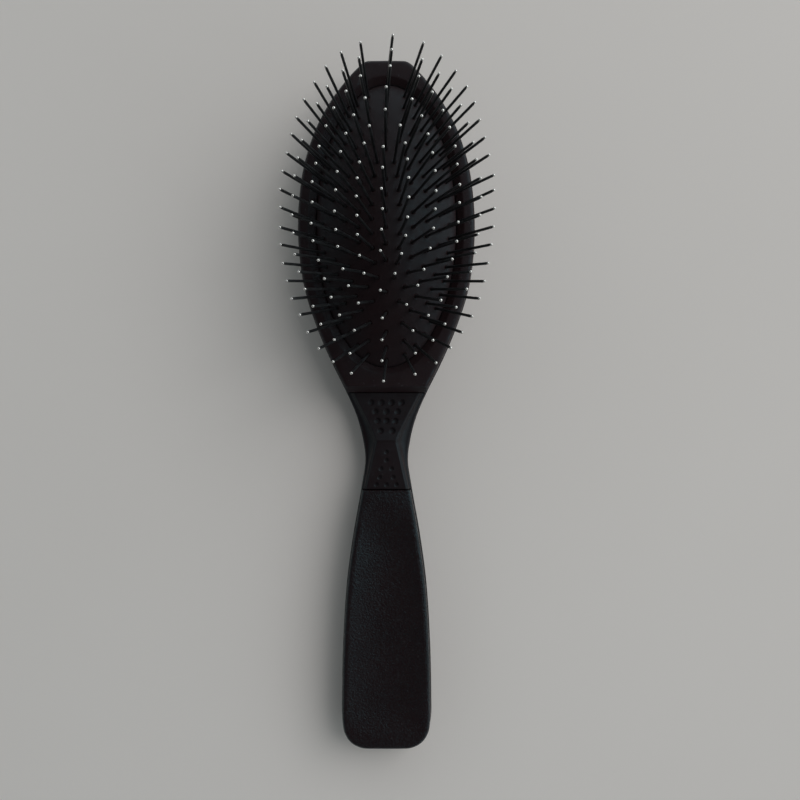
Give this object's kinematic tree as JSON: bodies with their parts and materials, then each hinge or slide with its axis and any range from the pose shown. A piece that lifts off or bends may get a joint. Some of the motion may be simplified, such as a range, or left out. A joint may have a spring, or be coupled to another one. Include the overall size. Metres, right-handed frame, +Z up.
{
  "type": "paddle hair brush",
  "caption": "Cushioned paddle hair brush: oval rubber air cushion full of ball-ended pins in a framed head, dimpled neck grip and flat tapered handle.",
  "frame": {"origin": "centre of the bounding box in plan, on the plane the brush's back rests on", "axes": "+Y along the brush from the butt to the head, +Z up out of the cushion, +X across"},
  "size_m": [0.0684, 0.235, 0.0445],
  "materials": {
    "shell_plastic": "satin",
    "frame_plastic": "satin",
    "handle_plastic": "fine matt grain",
    "grip_rubber": "soft-touch",
    "pad_rubber": "fine matt texture",
    "pin_enamel": "black coated shafts, bare polished ends",
    "inner_plastic": "as moulded",
    "screw_steel": "zinc plated"
  },
  "bodies": {
    "body": {"back_shell": "shell_plastic", "head_frame": "frame_plastic", "handle_cover": "handle_plastic", "neck_grip": "grip_rubber", "cushion_pad": "pad_rubber", "cushion_clamp_ring": "inner_plastic", "chamber_plate": "inner_plastic", "plate_screw_1": "screw_steel", "plate_screw_2": "screw_steel", "plate_screw_3": "screw_steel", "plate_screw_4": "screw_steel", "plate_screw_5": "screw_steel", "plate_screw_6": "screw_steel"},
    "column_pins": {"pins_column": "pin_enamel"},
    "ring_1_pins": {"pins_ring_1_head_right": "pin_enamel", "pins_ring_1_neck_right": "pin_enamel", "pins_ring_1_neck_left": "pin_enamel", "pins_ring_1_head_left": "pin_enamel"},
    "ring_2_pins": {"pins_ring_2_head_right": "pin_enamel", "pins_ring_2_neck_right": "pin_enamel", "pins_ring_2_neck_left": "pin_enamel", "pins_ring_2_head_left": "pin_enamel"},
    "ring_3_pins": {"pins_ring_3_head_right": "pin_enamel", "pins_ring_3_neck_right": "pin_enamel", "pins_ring_3_neck_left": "pin_enamel", "pins_ring_3_head_left": "pin_enamel"},
    "ring_4_pins": {"pins_ring_4_head_right": "pin_enamel", "pins_ring_4_neck_right": "pin_enamel", "pins_ring_4_neck_left": "pin_enamel", "pins_ring_4_head_left": "pin_enamel"},
    "ring_5_pins": {"pins_ring_5_head_right": "pin_enamel", "pins_ring_5_neck_right": "pin_enamel", "pins_ring_5_neck_left": "pin_enamel", "pins_ring_5_head_left": "pin_enamel"}
  },
  "joints": [
    {"name": "press_column", "type": "slide", "parent": "body", "child": "column_pins", "axis": [0, 0, -1], "range_m": [0, 0.0035], "stiffness_N_per_m": 900, "deforming": ["cushion_pad"]},
    {"name": "press_ring_1", "type": "slide", "parent": "body", "child": "ring_1_pins", "axis": [0, 0, -1], "range_m": [0, 0.00309], "stiffness_N_per_m": 900},
    {"name": "press_ring_2", "type": "slide", "parent": "body", "child": "ring_2_pins", "axis": [0, 0, -1], "range_m": [0, 0.0026], "stiffness_N_per_m": 900},
    {"name": "press_ring_3", "type": "slide", "parent": "body", "child": "ring_3_pins", "axis": [0, 0, -1], "range_m": [0, 0.00197], "stiffness_N_per_m": 900},
    {"name": "press_ring_4", "type": "slide", "parent": "body", "child": "ring_4_pins", "axis": [0, 0, -1], "range_m": [0, 0.00123], "stiffness_N_per_m": 900},
    {"name": "press_ring_5", "type": "slide", "parent": "body", "child": "ring_5_pins", "axis": [0, 0, -1], "range_m": [0, 0.00057], "stiffness_N_per_m": 900}
  ],
  "couplings": [
    {"joint": "press_ring_1", "follows": "press_column", "ratio": 0.88},
    {"joint": "press_ring_2", "follows": "press_column", "ratio": 0.74},
    {"joint": "press_ring_3", "follows": "press_column", "ratio": 0.56},
    {"joint": "press_ring_4", "follows": "press_column", "ratio": 0.35},
    {"joint": "press_ring_5", "follows": "press_column", "ratio": 0.16}
  ]
}
